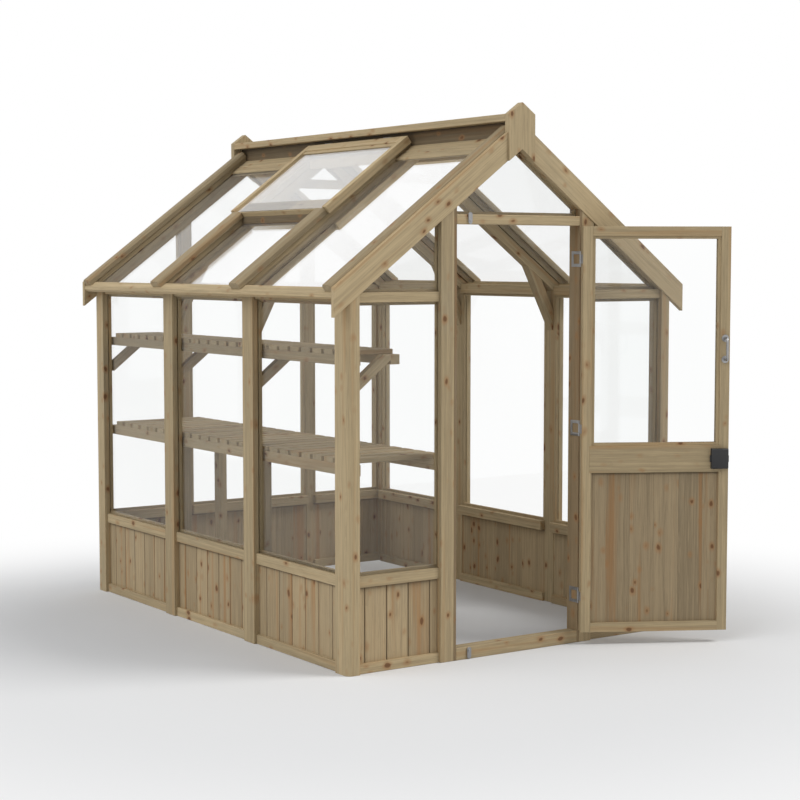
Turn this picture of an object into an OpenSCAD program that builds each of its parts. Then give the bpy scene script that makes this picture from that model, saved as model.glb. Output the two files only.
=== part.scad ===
// Timber greenhouse on a boarded base, with a hinged door, a roof vent, a shelf and a staging.
// Millimetres. X runs across the house, Y from the front gable to the rear one, Z up.
// The origin is under the middle of the doorway's threshold.

/* [House] */
// Width over the corner posts
house_w = 1690; // [1600:10:1900]
// Length over the corner posts
house_l = 2316; // [2100:4:2800]
// Height of the rafters' tops over the outer face of the side posts
eaves_h = 1552; // [1480:2:1700]
// Slope of the roof in degrees
roof_pitch = 36.7; // [34:0.1:39]

/* [Posts] */
// Width of a corner post, across the gable
corner_post_w = 58; // [50:1:75]
// Depth of a corner post, along the side
corner_post_d = 92; // [80:1:110]
// Radius of a corner post's outer edge
post_round = 25; // [10:1:30]
// Width of a side post, along the side
side_post_w = 88; // [75:1:100]
// Thickness of a side post, across the wall
side_post_t = 45; // [42:1:55]
// Width of a door post and of the rear posts behind them
door_post_w = 65; // [50:1:80]
// Depth of a door post
door_post_d = 62; // [58:1:75]
// Depth of a rear post
rear_post_d = 45; // [42:1:55]

/* [Doorway] */
// Clear width between the door linings
doorway_w = 640; // [600:5:680]
// Thickness of a door lining
lining_t = 12; // [10:1:18]
// Depth of a door lining
lining_d = 69; // [69:1:85]
// Height of the threshold
threshold_h = 50; // [45:1:60]
// Height of the header over the door
header_h = 40; // [34:1:50]
// Room between the header's top and the gable rafters at the door posts
header_room = 21; // [8:1:60]

/* [Walls] */
// How far the rails stand back from the posts' outer faces
rail_set = 12; // [6:1:18]
// Thickness of the rails
rail_t = 45; // [40:1:50]
// Height of the bottom rails
bottom_rail_h = 40; // [35:1:60]
// Height of the sill rails' undersides
sill_z = 345; // [300:5:450]
// Height of a sill rail
sill_h = 45; // [38:1:60]
// Depth of a sill rail
sill_d = 60; // [50:1:70]
// Height of the gable rails at the eaves
gable_rail_h = 40; // [34:1:50]
// Height of the wall plates under the eaves
plate_h = 45; // [35:1:48]

/* [Cladding and glass] */
// Cover width of a board
board_cover = 105; // [80:1:130]
// Thickness of a board
board_t = 16; // [13:1:18]
// Narrowest cut board at a post
board_min = 20; // [12:1:40]
// Width of the V cut along each board edge
board_v = 4; // [2:0.5:4.5]
// Length of a board's tongue
tongue_l = 6; // [4:0.5:8]
// Thickness of a board's tongue
tongue_t = 5; // [4:0.5:6]
// Depth of the rebates behind the posts' outer faces
glaze_set = 26; // [20:1:30]
// Width of the rebates in the posts
rebate_w = 10; // [8:1:14]
// Thickness of the glass
pane_t = 4; // [3:0.5:5]
// Width of the glazing beads
bead_w = 12; // [10:1:16]
// Thickness of the glazing beads
bead_t = 15; // [12:1:18]

/* [Roof] */
// Width of a rafter
rafter_w = 45; // [40:1:55]
// Depth of a rafter, square to the slope
rafter_d = 75; // [65:1:90]
// Width of a glazing cap
cap_w = 80; // [70:1:100]
// Thickness of a glazing cap
cap_t = 32; // [20:1:34]
// Chamfer on a cap's upper edges
cap_chamfer = 10; // [4:1:12]
// Width of the cap over a gable rafter
gable_cap_w = 60; // [55:1:75]
// Depth of the roof glass under the rafters' tops
roof_glass_drop = 26; // [20:1:30]
// How far the eaves rails stand out past the posts
eaves_out = 60; // [50:1:70]
// Height of an eaves rail's front face
eaves_lip = 14; // [10:1:20]
// Width of the eaves rail's top that shows in front of the glass
eaves_show = 32; // [26:1:36]
// Width of a bargeboard, square to the slope
barge_w = 94; // [88:1:110]
// Thickness of a bargeboard
barge_t = 22; // [18:1:28]
// How far a bargeboard stands in front of the posts
barge_proud = 4; // [2:1:8]
// How far a bargeboard's end stands out past the corner posts
barge_out = 62; // [60:1:80]
// Width of a finial and of the ridge cap
ridge_cap_w = 134; // [120:1:150]
// Thickness of the ridge cap
ridge_cap_t = 30; // [20:1:40]
// Height of the ridge cap's underside over the meeting of the rafters' tops
ridge_lift = 20; // [18:1:30]
// Height of a finial's point over the ridge cap
finial_rise = 47; // [30:1:60]
// Thickness of a finial
finial_t = 32; // [26:1:40]
// Flat at the finial's point
finial_flat = 4; // [2:1:30]
// Thickness of the ridge beam
ridge_beam_t = 44; // [38:1:50]
// Height of the ridge beam
ridge_beam_h = 100; // [96:1:160]
// Height of the ridge, at the rafters' tops, over the undersides of the collars
collar_drop = 204; // [180:1:290]
// Height of a collar
collar_h = 42; // [30:1:50]
// Width of a knee brace
brace_w = 45; // [35:1:55]
// Height of a knee brace's foot under the eaves
brace_drop = 199; // [150:1:260]
// Angle of a knee brace from level
brace_angle = 62.7; // [55:0.1:68]

/* [Roof vent] */
// Width of the vent
vent_w = 844; // [830:1:860]
// Length of the vent down the slope
vent_l = 533; // [450:1:600]
// Thickness of the vent's frame
vent_t = 36; // [30:1:40]
// Width of the vent's stiles
vent_stile_w = 60; // [52:1:70]
// Width of the edge strips that stand above the vent's glass
vent_edge_w = 33; // [26:1:40]
// Height of the underside of the vent's glass over the rafters' tops
vent_glass_n = 24; // [18:1:26]
// Width of the vent's top rail
vent_top_w = 46; // [38:1:60]
// Width of the vent's bottom rail
vent_bottom_w = 75; // [68:1:90]
// Width of the trimmer under the vent's lower edge
trimmer_w = 40; // [36:1:45]
// Length of a vent hinge
vent_hinge_l = 60; // [45:1:75]
// Length of the stay
stay_l = 250; // [180:1:300]

/* [Door] */
// Gap between the door and the frame round it
door_gap = 3; // [2.5:0.1:4]
// Thickness of the door
door_t = 45; // [42:1:50]
// Width of the door's stiles
stile_w = 42; // [40:1:50]
// Height of the door's top and bottom rails
door_rail_h = 40; // [36:1:60]
// Height of the middle rail's lower edge over the door's foot
mid_rail_z = 683; // [600:1:760]
// Height of the middle rail
mid_rail_h = 114; // [100:1:130]
// How far the middle rail is housed in the stiles
rail_housing = 9; // [6:1:12]
// How far the door stands open
door_open = 151.3; // [0:0.1:160]

/* [Door furniture] */
// Height of the pull handles over the door's foot
handle_z = 1207; // [1050:1:1350]
// Distance between a pull handle's two feet
handle_feet = 90; // [75:1:110]
// Reach of a pull handle
handle_reach = 42; // [35:1:50]
// Thickness of a pull handle's bar
handle_bar_d = 11; // [8:1:14]
// Width of the lock case
lock_w = 73; // [65:1:80]
// Height of the lock case
lock_h = 86; // [75:1:95]
// Thickness of the lock case
lock_t = 20; // [16:1:22]
// Height of the lock's bolt
bolt_h = 28; // [16:1:32]
// Height of a flush hinge
hinge_h = 66; // [56:1:76]
// Width of a flush hinge's outer leaf
hinge_w = 52; // [46:1:56]
// Height of the top hinge under the door's head
hinge_top = 137; // [90:1:200]
// Height of the bottom hinge over the door's foot
hinge_bottom = 152; // [90:1:200]
// Length of a turn button
button_l = 48; // [42:1:54]
// Width of a turn button
button_w = 20; // [16:1:24]
// Distance of the turn buttons from the middle of the doorway
button_x = 257; // [150:1:290]

/* [Shelf and staging] */
// Height of the staging's top
staging_h = 846; // [700:2:950]
// Height of the eaves over the shelf's top
shelf_drop = 272; // [260:2:420]
// Depth of the shelf
shelf_d = 231; // [200:1:260]
// Thickness of a slat
slat_t = 20; // [16:1:24]
// Width of a slat
slat_w = 68; // [50:1:80]
// Distance from one slat to the next
slat_pitch = 88; // [84:1:110]
// Width of the bearers under the slats and of the legs
bearer_w = 45; // [38:1:50]
// Height of the staging's bearers
staging_bearer_h = 45; // [38:1:60]
// Height of the shelf's bearers
shelf_bearer_h = 40; // [34:1:50]
// Place of the aisle's rear leg from the middle of the house
leg_rear_y = 780; // [600:5:850]
// Place of the aisle's front leg from the middle of the house
leg_front_y = 400; // [300:5:600]
// Width of a shelf bracket
bracket_w = 40; // [30:1:45]
// Thickness of a shelf bracket
bracket_t = 35; // [28:1:40]
// Angle of a shelf bracket from level
bracket_angle = 38.3; // [34:0.1:45]

/* [Hidden] */
$fn = 48;

// Colours
pine = [0.67, 0.60, 0.45];
pine_light = [0.72, 0.64, 0.48];
pine_dark = [0.58, 0.50, 0.37];
clear_glass = [0.80, 0.88, 0.88, 0.35];
steel = [0.75, 0.76, 0.77];
black = [0.10, 0.10, 0.11];

// Clearances
glass_gap = 1;      // round a pane in its rebate
tongue_gap = 0.3;   // round a tongue in its groove
slide_gap = 0.3;    // round the lock's bolt
pin_gap = 0.08;     // round a pin in its knuckle
rest_gap = 0.3;     // between the vent and what it rests on
joint_gap = 0.3;    // between boards, beads and rails that meet in one run
seat_gap = 0.02;    // square to the slope, between a rafter and what is screwed to it

// The house's own frame has y = 0 at mid length
half_w = house_w / 2;
half_l = house_l / 2;
slope = tan(roof_pitch);
post_in_x = half_w - corner_post_w;
post_in_y = half_l - corner_post_d;
bay_l = (2 * post_in_y - 2 * side_post_w) / 3;
bay_step = bay_l + side_post_w;
side_post_y = bay_step / 2;
door_post_x0 = doorway_w / 2 + lining_t;
door_post_x1 = door_post_x0 + door_post_w;
sill_top = sill_z + sill_h;
over = 2;           // how far cutting shapes run past what they cut

// Roof heights: x is the distance from the middle, n the height square to the rafters' tops
function roof_z(x, n = 0) = eaves_h + (half_w - x) * slope + n / cos(roof_pitch);

barge_z = barge_t - barge_proud;            // from the post's front to the bargeboard's back
gable_rafter_w = rafter_w - 1;
gable_rafter_in = half_l - barge_z - gable_rafter_w;
ridge_z0 = roof_z(0) + ridge_lift;
ridge_z1 = ridge_z0 + ridge_cap_t;
rafter_x0 = ridge_beam_t / 2;
rafter_x1 = half_w - rail_set;
eaves_x = half_w + eaves_out;
eaves_bevel = 12;
eaves_bevel_h = 10;
eaves_z0 = roof_z(eaves_x) - eaves_lip - eaves_bevel_h;
plate_drop = 12;        // from the eaves rails' undersides to the wall plates'
gable_rail_drop = 2;    // from the wall plates' undersides to the gable rails'
plate_z0 = eaves_z0 - plate_drop;
gable_rail_z0 = plate_z0 - gable_rail_drop;
gable_rail_z1 = gable_rail_z0 + gable_rail_h;
header_z1 = roof_z(door_post_x0, -rafter_d) - header_room;
header_z0 = header_z1 - header_h;
glass_n1 = -roof_glass_drop;
glass_n0 = glass_n1 - pane_t;
right_rail_x = 50;      // where the right slope's upper rail ends
vent_rail_x = 96;       // where the rail under the vent's upper end ends
top_rail_x = 67;        // where the upper rails beside the vent end
top_bar_x = 103;        // where the glazing bars under them end
bar_n = -17;            // tops of these bars and of the right slope's rail
bar_gap = 3;            // between the two bars, which shows as a line
roof_rail_d = 36;       // from the rafters' tops to the undersides of rails and bars
glass_bite = 10;        // how far roof glass enters a groove
pane_end_x = eaves_x - eaves_show - glass_gap;
rafter_toe_x = eaves_x - eaves_show - joint_gap;
cap_out = 52;           // how far the caps' lower ends stand out past the posts
cap_x1 = half_w + cap_out;
cap_head_gap = 4;       // between a cap's upper end and the ridge beam
cap_x0 = rafter_x0 + cap_head_gap;

// Boxes, extrusions and mirrored copies
module block(x, y, z) {
    translate([x[0], y[0], z[0]]) cube([x[1] - x[0], y[1] - y[0], z[1] - z[0]]);
}
module along_y(y0, y1) {
    translate([0, y1, 0]) rotate([90, 0, 0]) linear_extrude(y1 - y0) children();
}
module both_sides() {
    children();
    mirror([1, 0, 0]) children();
}
module both_ends() {
    children();
    mirror([0, 1, 0]) children();
}
module left_side() {
    mirror([1, 0, 0]) children();
}
// Moves the house's frame to the origin under the threshold
module placed() {
    translate([0, half_l - door_post_d / 2, 0]) children();
}
// Strip of the roof's section between two plumb ends
module roof_strip(x0, x1, n0, n1) {
    polygon([[x0, roof_z(x0, n0)], [x1, roof_z(x1, n0)], [x1, roof_z(x1, n1)], [x0, roof_z(x0, n1)]]);
}
// The section of all that lies under the rafters
module under_rafters(n = -rafter_d - seat_gap) {
    polygon([[0, roof_z(0, n)], [house_w, roof_z(house_w, n)], [house_w, -over],
        [-house_w, -over], [-house_w, roof_z(house_w, n)]]);
}
module cut_under_rafters(n = -rafter_d - seat_gap) {
    intersection() {
        children();
        along_y(-house_l, house_l) under_rafters(n);
    }
}
// Turns to the roof: X is square out of the slope, Y stays, Z runs up the slope from x0
module on_slope(x0) {
    translate([x0, 0, roof_z(x0)]) rotate([0, roof_pitch - 90, 0]) children();
}
// The side wall's bays, from front to rear
module each_bay() {
    for (i = [-1, 0, 1]) translate([0, i * bay_step, 0]) children();
}

// Posts
module corner_plan() {
    difference() {
        translate([post_in_x, -half_l]) square([corner_post_w, corner_post_d]);
        translate([half_w - post_round, -half_l]) square([post_round, post_round]);
    }
    translate([half_w - post_round, post_round - half_l]) circle(post_round);
}
module corner_post() {
    difference() {
        union() {
            cut_under_rafters() linear_extrude(eaves_h) corner_plan();
            intersection() {
                linear_extrude(eaves_z0) corner_plan();
                block([rafter_x1, half_w], [barge_z - half_l, -post_in_y], [0, eaves_z0]);
            }
        }
        block([post_in_x - over, post_in_x + rebate_w], [glaze_set - half_l, over - post_in_y],
            [-over, eaves_h + over]);
        block([post_in_x - over, half_w - glaze_set], [-post_in_y - rebate_w, over - post_in_y],
            [-over, eaves_h + over]);
    }
}
module corner_posts() placed() color(pine) both_ends() both_sides() corner_post();

module side_post() {
    x0 = half_w - side_post_t;
    difference() {
        union() {
            cut_under_rafters()
                block([x0, rafter_x1], [-side_post_w / 2, side_post_w / 2], [0, eaves_h]);
            block([rafter_x1, half_w], [-side_post_w / 2, side_post_w / 2], [0, eaves_z0]);
        }
        both_ends()
            block([x0 - over, half_w - glaze_set], [side_post_w / 2 - rebate_w, side_post_w],
                [-over, eaves_h + over]);
    }
}
module side_posts() placed() color(pine)
    both_ends() both_sides() translate([0, -side_post_y, 0]) side_post();

module door_posts() placed() color(pine) both_sides() difference() {
    cut_under_rafters()
        block([door_post_x0, door_post_x1], [-half_l, door_post_d - half_l], [0, eaves_h + half_w]);
    block([door_post_x1 - rebate_w, door_post_x1 + over],
        [glaze_set - half_l, door_post_d + over - half_l], [-over, eaves_h + half_w]);
}
module rear_posts() placed() color(pine) both_sides() mirror([0, 1, 0]) difference() {
    cut_under_rafters()
        block([door_post_x0, door_post_x1], [-half_l, rear_post_d - half_l], [0, eaves_h + half_w]);
    block([door_post_x1 - rebate_w, door_post_x1 + over],
        [glaze_set - half_l, rear_post_d + over - half_l], [-over, eaves_h + half_w]);
    block([door_post_x0 - over, door_post_x0 + rebate_w],
        [glaze_set - half_l, rear_post_d + over - half_l], [-over, eaves_h + half_w]);
}

// Doorway
lock_z = threshold_h + door_gap + mid_rail_z + mid_rail_h / 2;
door_y0 = -half_l;
door_y1 = door_t - half_l;
bolt_t = 10;
bolt_y = door_y1 + lock_t / 2;
module bolt_hole(x, clear) {
    block(x, [bolt_y - bolt_t / 2 - clear, bolt_y + bolt_t / 2 + clear],
        [lock_z - bolt_h / 2 - clear, lock_z + bolt_h / 2 + clear]);
}
module door_linings() placed() color(pine_light) difference() {
    both_sides() cut_under_rafters()
        block([doorway_w / 2, door_post_x0], [-half_l, lining_d - half_l], [0, eaves_h + half_w]);
    bolt_hole([-door_post_x0 - over, -doorway_w / 2 + over], slide_gap);
}
module door_header() placed() color(pine_light)
    block([-doorway_w / 2, doorway_w / 2], [-half_l, door_post_d - half_l], [header_z0, header_z1]);
module threshold() placed() color(pine_light)
    block([-doorway_w / 2, doorway_w / 2], [-half_l, door_post_d - half_l], [0, threshold_h]);

// Wall rails: the part in front of the rebate fits between the posts, the rest fills the rebates
module side_rail(z, depth) {
    for (i = [0, 1]) each_bay()
        block([i == 0 ? half_w - glaze_set : half_w - rail_set - depth,
            i == 0 ? half_w - rail_set : half_w - glaze_set],
            [-bay_l / 2 - i * rebate_w, bay_l / 2 + i * rebate_w], z);
}
module gable_rail(x, z, depth) {
    block(x, [rail_set - half_l, glaze_set - half_l], z);
    block([x[0] - rebate_w, x[1] + rebate_w], [glaze_set - half_l, rail_set + depth - half_l], z);
}
module wall_rails(z, depth) {
    both_sides() side_rail(z, depth);
    both_ends() both_sides() gable_rail([door_post_x1, post_in_x], z, depth);
    mirror([0, 1, 0]) gable_rail([-door_post_x0, door_post_x0], z, depth);
}
module bottom_rails() placed() color(pine) wall_rails([0, bottom_rail_h], rail_t);
module sill_rails() placed() color(pine_light) wall_rails([sill_z, sill_top], sill_d);
module gable_rails() placed() color(pine) {
    both_ends() both_sides() cut_under_rafters()
        gable_rail([door_post_x1, post_in_x], [gable_rail_z0, gable_rail_z1], rail_t);
    mirror([0, 1, 0]) gable_rail([-door_post_x0, door_post_x0], [gable_rail_z0, gable_rail_z1], rail_t);
}
module wall_plates() placed() color(pine_dark)
    both_sides() side_rail([plate_z0, plate_z0 + plate_h], rail_t);

// Boards: a run of tongued boards along X, their outer faces at y = 0, cut to fit at both ends
function board_seams(run) =
    let (n = max(0, floor((run - 2 * rebate_w - 2 * board_min) / board_cover)),
        first = (run - n * board_cover) / 2)
    concat([0], [for (i = [0:n]) first + i * board_cover], [run]);
module board_plan(x0, x1, groove, tongue) {
    g0 = (board_t - tongue_t) / 2;
    g1 = g0 + tongue_t;
    deep = x0 + tongue_l + tongue_gap;
    edge = tongue ? x1 - joint_gap : x1;
    left = groove ? [[x0, board_t], [x0, g1 + tongue_gap], [deep, g1 + tongue_gap],
        [deep, g0 - tongue_gap], [x0, g0 - tongue_gap], [x0, board_v], [x0 + board_v, 0]]
        : [[x0, board_t], [x0, 0]];
    right = tongue ? [[edge - board_v, 0], [edge, board_v], [edge, g0], [edge + tongue_l, g0],
        [edge + tongue_l, g1], [edge, g1], [edge, board_t]]
        : [[edge, 0], [edge, board_t]];
    polygon(concat(left, right));
}
module board_run(run, z0, z1) {
    seams = board_seams(run);
    last = len(seams) - 2;
    for (i = [0:last])
        translate([0, 0, z0]) linear_extrude(z1 - z0)
            board_plan(seams[i], seams[i + 1], i > 0, i < last);
}
module side_boards() placed() color(pine_light) both_sides() each_bay()
    translate([half_w - glaze_set, -bay_l / 2 - rebate_w, 0]) rotate(90)
        board_run(bay_l + 2 * rebate_w, bottom_rail_h, sill_z);
module gable_boards() placed() color(pine_light) {
    gable_run = post_in_x - door_post_x1 + 2 * rebate_w;
    both_ends() both_sides() translate([door_post_x1 - rebate_w, glaze_set - half_l, 0])
        board_run(gable_run, bottom_rail_h, sill_z);
    mid_run = 2 * (door_post_x0 + rebate_w);
    mirror([0, 1, 0]) translate([-mid_run / 2, glaze_set - half_l, 0])
        board_run(mid_run, bottom_rail_h, sill_z);
}

// Glass and beads of the walls
pane_bite = rebate_w - glass_gap;
module side_glass() placed() color(clear_glass) both_sides() each_bay()
    block([half_w - glaze_set - pane_t, half_w - glaze_set],
        [-bay_l / 2 - pane_bite, bay_l / 2 + pane_bite], [sill_top, plate_z0 - glass_gap]);
module side_beads() placed() color(pine_light) both_sides() each_bay() {
    x = [half_w - glaze_set - pane_t - bead_t, half_w - glaze_set - pane_t];
    y1 = bay_l / 2 + rebate_w;
    y0 = y1 - bead_w;
    both_ends() block(x, [y0, y1], [sill_top, plate_z0]);
    level = [joint_gap - y0, y0 - joint_gap];
    block(x, level, [sill_top, sill_top + bead_w]);
    block(x, level, [plate_z0 - bead_w, plate_z0]);
}
module gable_pane(x) {
    block([x[0] - pane_bite, x[1] + pane_bite], [glaze_set - half_l, glaze_set + pane_t - half_l],
        [sill_top, gable_rail_z0 - glass_gap]);
}
module gable_glass() placed() color(clear_glass) {
    both_ends() both_sides() gable_pane([door_post_x1, post_in_x]);
    mirror([0, 1, 0]) gable_pane([-door_post_x0, door_post_x0]);
}
bead_y = [glaze_set + pane_t - half_l, glaze_set + pane_t + bead_t - half_l];
module bead_frame(x, z) {
    level = [x[0] + bead_w + joint_gap, x[1] - bead_w - joint_gap];
    block([x[0], x[0] + bead_w], bead_y, z);
    block([x[1] - bead_w, x[1]], bead_y, z);
    block(level, bead_y, [z[0], z[0] + bead_w]);
    block(level, bead_y, [z[1] - bead_w, z[1]]);
}
// Bead along the rafter over a gable's upper pane, from the upright bead down to the rail's bead
module slope_bead(x0, z0) {
    intersection() {
        along_y(bead_y[0], bead_y[1])
            roof_strip(x0, half_w, -rafter_d - bead_w, -rafter_d - seat_gap);
        block([x0, half_w], [-half_l, 0], [z0, ridge_z1]);
    }
}
header_top_x = doorway_w / 2;
module gable_beads() placed() color(pine_light) {
    both_ends() both_sides() {
        bead_frame([door_post_x1 - rebate_w, post_in_x + rebate_w], [sill_top, gable_rail_z0]);
        x0 = door_post_x1 - rebate_w;
        low_z = gable_rail_z1 + bead_w;
        low_x = half_w - (low_z - eaves_h + rafter_d / cos(roof_pitch)) / slope;
        block([x0 + bead_w + joint_gap, low_x], bead_y, [gable_rail_z1, low_z]);
        cut_under_rafters() block([x0, x0 + bead_w], bead_y, [gable_rail_z1, ridge_z1]);
        slope_bead(x0 + bead_w + joint_gap, low_z + joint_gap);
    }
    mirror([0, 1, 0])
        bead_frame([-door_post_x0 - rebate_w, door_post_x0 + rebate_w], [sill_top, gable_rail_z0]);
    // Over the header, and over the rail between the rear posts
    both_sides() {
        cut_under_rafters()
            block([header_top_x - bead_w, header_top_x], bead_y,
                [header_z1 + bead_w + joint_gap, ridge_z1]);
        top_slope_beads(header_top_x - bead_w - joint_gap);
        mirror([0, 1, 0]) {
            cut_under_rafters() block([door_post_x0 + rebate_w - bead_w, door_post_x0 + rebate_w],
                bead_y, [gable_rail_z1 + bead_w + joint_gap, ridge_z1]);
            top_slope_beads(door_post_x0 + rebate_w - bead_w - joint_gap);
        }
    }
    block([-header_top_x, header_top_x], bead_y, [header_z1, header_z1 + bead_w]);
    mirror([0, 1, 0]) block([-door_post_x0 - rebate_w, door_post_x0 + rebate_w], bead_y,
        [gable_rail_z1, gable_rail_z1 + bead_w]);
}
module top_slope_beads(x1) {
    along_y(bead_y[0], bead_y[1])
        roof_strip(joint_gap / 2, x1, -rafter_d - bead_w, -rafter_d - seat_gap);
}
module top_pane(x, z0) {
    cut_under_rafters(-rafter_d - glass_gap)
        block(x, [glaze_set - half_l, glaze_set + pane_t - half_l],
            [z0, ridge_z0]);
}
module gable_top_glass() placed() color(clear_glass) {
    both_ends() both_sides() top_pane([door_post_x1 - pane_bite, post_in_x], gable_rail_z1);
    top_pane([glass_gap - header_top_x, header_top_x - glass_gap], header_z1);
    mirror([0, 1, 0]) top_pane([-door_post_x0 - pane_bite, door_post_x0 + pane_bite], gable_rail_z1);
}

// Ridge and gables
module ridge_beam() placed() color(pine_dark)
    block([-ridge_beam_t / 2, ridge_beam_t / 2], [barge_z - half_l, half_l - barge_z],
        [ridge_z0 - ridge_beam_h, ridge_z0]);
module ridge_cap() placed() color(pine)
    block([-ridge_cap_w / 2, ridge_cap_w / 2], [barge_z - half_l, half_l - barge_z],
        [ridge_z0, ridge_z1]);
module finials() placed() color(pine) {
    hw = ridge_cap_w / 2;
    tip = ridge_z1 + finial_rise;
    both_ends() along_y(barge_z - finial_t - half_l, barge_z - half_l)
        polygon([[-hw, roof_z(hw, -rafter_d)], [0, roof_z(0, -rafter_d)], [hw, roof_z(hw, -rafter_d)],
            [hw, ridge_z1], [finial_flat / 2, tip], [-finial_flat / 2, tip], [-hw, ridge_z1]]);
}
module bargeboards() placed() color(pine_light) both_ends() both_sides()
    along_y(-barge_proud - half_l, barge_z - half_l)
        roof_strip(ridge_cap_w / 2, half_w + barge_out, -rafter_d, barge_w - rafter_d);

// Rafters, with grooves for the glass and a toe that lies on the eaves rail
groove_gap = glass_gap / 2;
module glass_groove(y0, y1) {
    along_y(y0, y1)
        roof_strip(rafter_x0 - over, rafter_toe_x + over, glass_n0 - groove_gap, glass_n1 + groove_gap);
}
module rafter_section() {
    roof_strip(rafter_x0, rafter_x1, -rafter_d, 0);
    roof_strip(rafter_x1 - over, rafter_toe_x, glass_n0 + seat_gap, 0);
}
module gable_rafters() placed() color(pine) both_ends() both_sides() difference() {
    along_y(barge_z - half_l, -gable_rafter_in) rafter_section();
    glass_groove(-gable_rafter_in - glass_bite, over - gable_rafter_in);
}
module bay_rafters() placed() color(pine) both_ends() both_sides() translate([0, -side_post_y, 0])
    difference() {
        along_y(-rafter_w / 2, rafter_w / 2) rafter_section();
        both_ends() glass_groove(rafter_w / 2 - glass_bite, rafter_w / 2 + over);
    }

// Caps over the rafters, cut square at both ends
module cap_section(y0, y1) {
    polygon([[seat_gap, y0], [cap_t - cap_chamfer, y0], [cap_t, y0 + cap_chamfer],
        [cap_t, y1 - cap_chamfer], [cap_t - cap_chamfer, y1], [seat_gap, y1]]);
}
module cap(y0, y1, upper_x) {
    on_slope(cap_x1) linear_extrude((cap_x1 - upper_x) / cos(roof_pitch)) cap_section(y0, y1);
}
vent_x0 = 36;           // the vent's upper end, at the rafters' tops
vent_x1 = vent_x0 + vent_l * cos(roof_pitch);
vent_cap_gap = 3;
module glazing_caps() placed() color(pine) {
    both_ends() both_sides() cap(barge_z - half_l, barge_z + gable_cap_w - half_l, cap_x0);
    both_ends() cap(-side_post_y - cap_w / 2, cap_w / 2 - side_post_y, cap_x0);
    both_ends() left_side()
        cap(-side_post_y - cap_w / 2, cap_w / 2 - side_post_y, vent_x1 + vent_cap_gap);
}

// Eaves rails: the glass lies on the inner part, behind the strip that shows
module eaves_rails() placed() color(pine) both_sides()
    along_y(barge_z - half_l, half_l - barge_z)
        polygon([[eaves_x - eaves_bevel, eaves_z0], [eaves_x, eaves_z0 + eaves_bevel_h],
            [eaves_x, roof_z(eaves_x)], [eaves_x - eaves_show, roof_z(eaves_x - eaves_show)],
            [eaves_x - eaves_show, roof_z(eaves_x - eaves_show, glass_n0)],
            [rafter_x1, roof_z(rafter_x1, glass_n0)], [rafter_x1, eaves_z0]]);

// The roof's bays between the rafters, from front to rear
rafter_face = rafter_w / 2;
roof_bays = [[-gable_rafter_in, -side_post_y - rafter_face],
    [rafter_face - side_post_y, side_post_y - rafter_face],
    [side_post_y + rafter_face, gable_rafter_in]];
rail_chamfer = 3;
module roof_rail(bay, x0, x1, top) {
    along_y(bay[0], bay[1]) polygon([[x0, roof_z(x0, -roof_rail_d)], [x1, roof_z(x1, -roof_rail_d)],
        [x1, roof_z(x1, top - rail_chamfer)], [x1 - rail_chamfer, roof_z(x1 - rail_chamfer, top)],
        [x0 + rail_chamfer, roof_z(x0 + rail_chamfer, top)], [x0, roof_z(x0, top - rail_chamfer)]]);
}
module pane_slot(bay, x) {
    along_y(bay[0] - over, bay[1] + over)
        roof_strip(x - glass_bite, x + over, glass_n0 - groove_gap, glass_n1 + groove_gap);
}
module glazing_bar(bay, x0, x1, top) {
    difference() {
        roof_rail(bay, x0, x1, top);
        pane_slot(bay, x1);
    }
}
module roof_top_rails() placed() color(pine_light) {
    for (i = [0:2]) glazing_bar(roof_bays[i], rafter_x0, right_rail_x, bar_n);
    left_side() {
        roof_rail(roof_bays[1], rafter_x0, vent_rail_x, 0);
        for (i = [0, 2]) {
            roof_rail(roof_bays[i], rafter_x0, top_rail_x, bar_n);
            glazing_bar(roof_bays[i], top_rail_x + bar_gap, top_bar_x, bar_n);
        }
    }
}
trimmer_show = 2;       // how much of the trimmer shows below the vent
trimmer_x1 = vent_x1 + trimmer_show;
trimmer_x0 = trimmer_x1 - trimmer_w;
module vent_trimmer() placed() color(pine_light) left_side()
    glazing_bar(roof_bays[1], trimmer_x0, trimmer_x1, 0);
module roof_pane(bay, upper_x) {
    along_y(bay[0] - glass_bite + glass_gap, bay[1] + glass_bite - glass_gap)
        roof_strip(upper_x - glass_bite + glass_gap, pane_end_x, glass_n0, glass_n1);
}
module roof_glass() placed() color(clear_glass) {
    for (i = [0:2]) roof_pane(roof_bays[i], right_rail_x);
    left_side() for (i = [0:2]) roof_pane(roof_bays[i], i == 1 ? trimmer_x1 : top_bar_x);
}

// Knee braces from the side posts to the rafters, and a collar between each pair of rafters
module knee_braces() placed() color(pine) both_ends() translate([0, -side_post_y, 0])
    both_sides() along_y(-rafter_face, rafter_face) intersection() {
        translate([half_w - side_post_t, eaves_h - brace_drop]) rotate(180 - brace_angle)
            translate([-house_w / 4, -brace_w / 2]) square([house_w, brace_w]);
        under_rafters();
        translate([0, -over]) square([half_w - side_post_t, eaves_h + half_w]);
    }
collar_z = roof_z(0) - collar_drop;
module collars() placed() color(pine) both_ends() translate([0, -side_post_y, 0]) cut_under_rafters()
    block([-half_w, half_w], [-rafter_face, rafter_face], [collar_z, collar_z + collar_h]);

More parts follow.
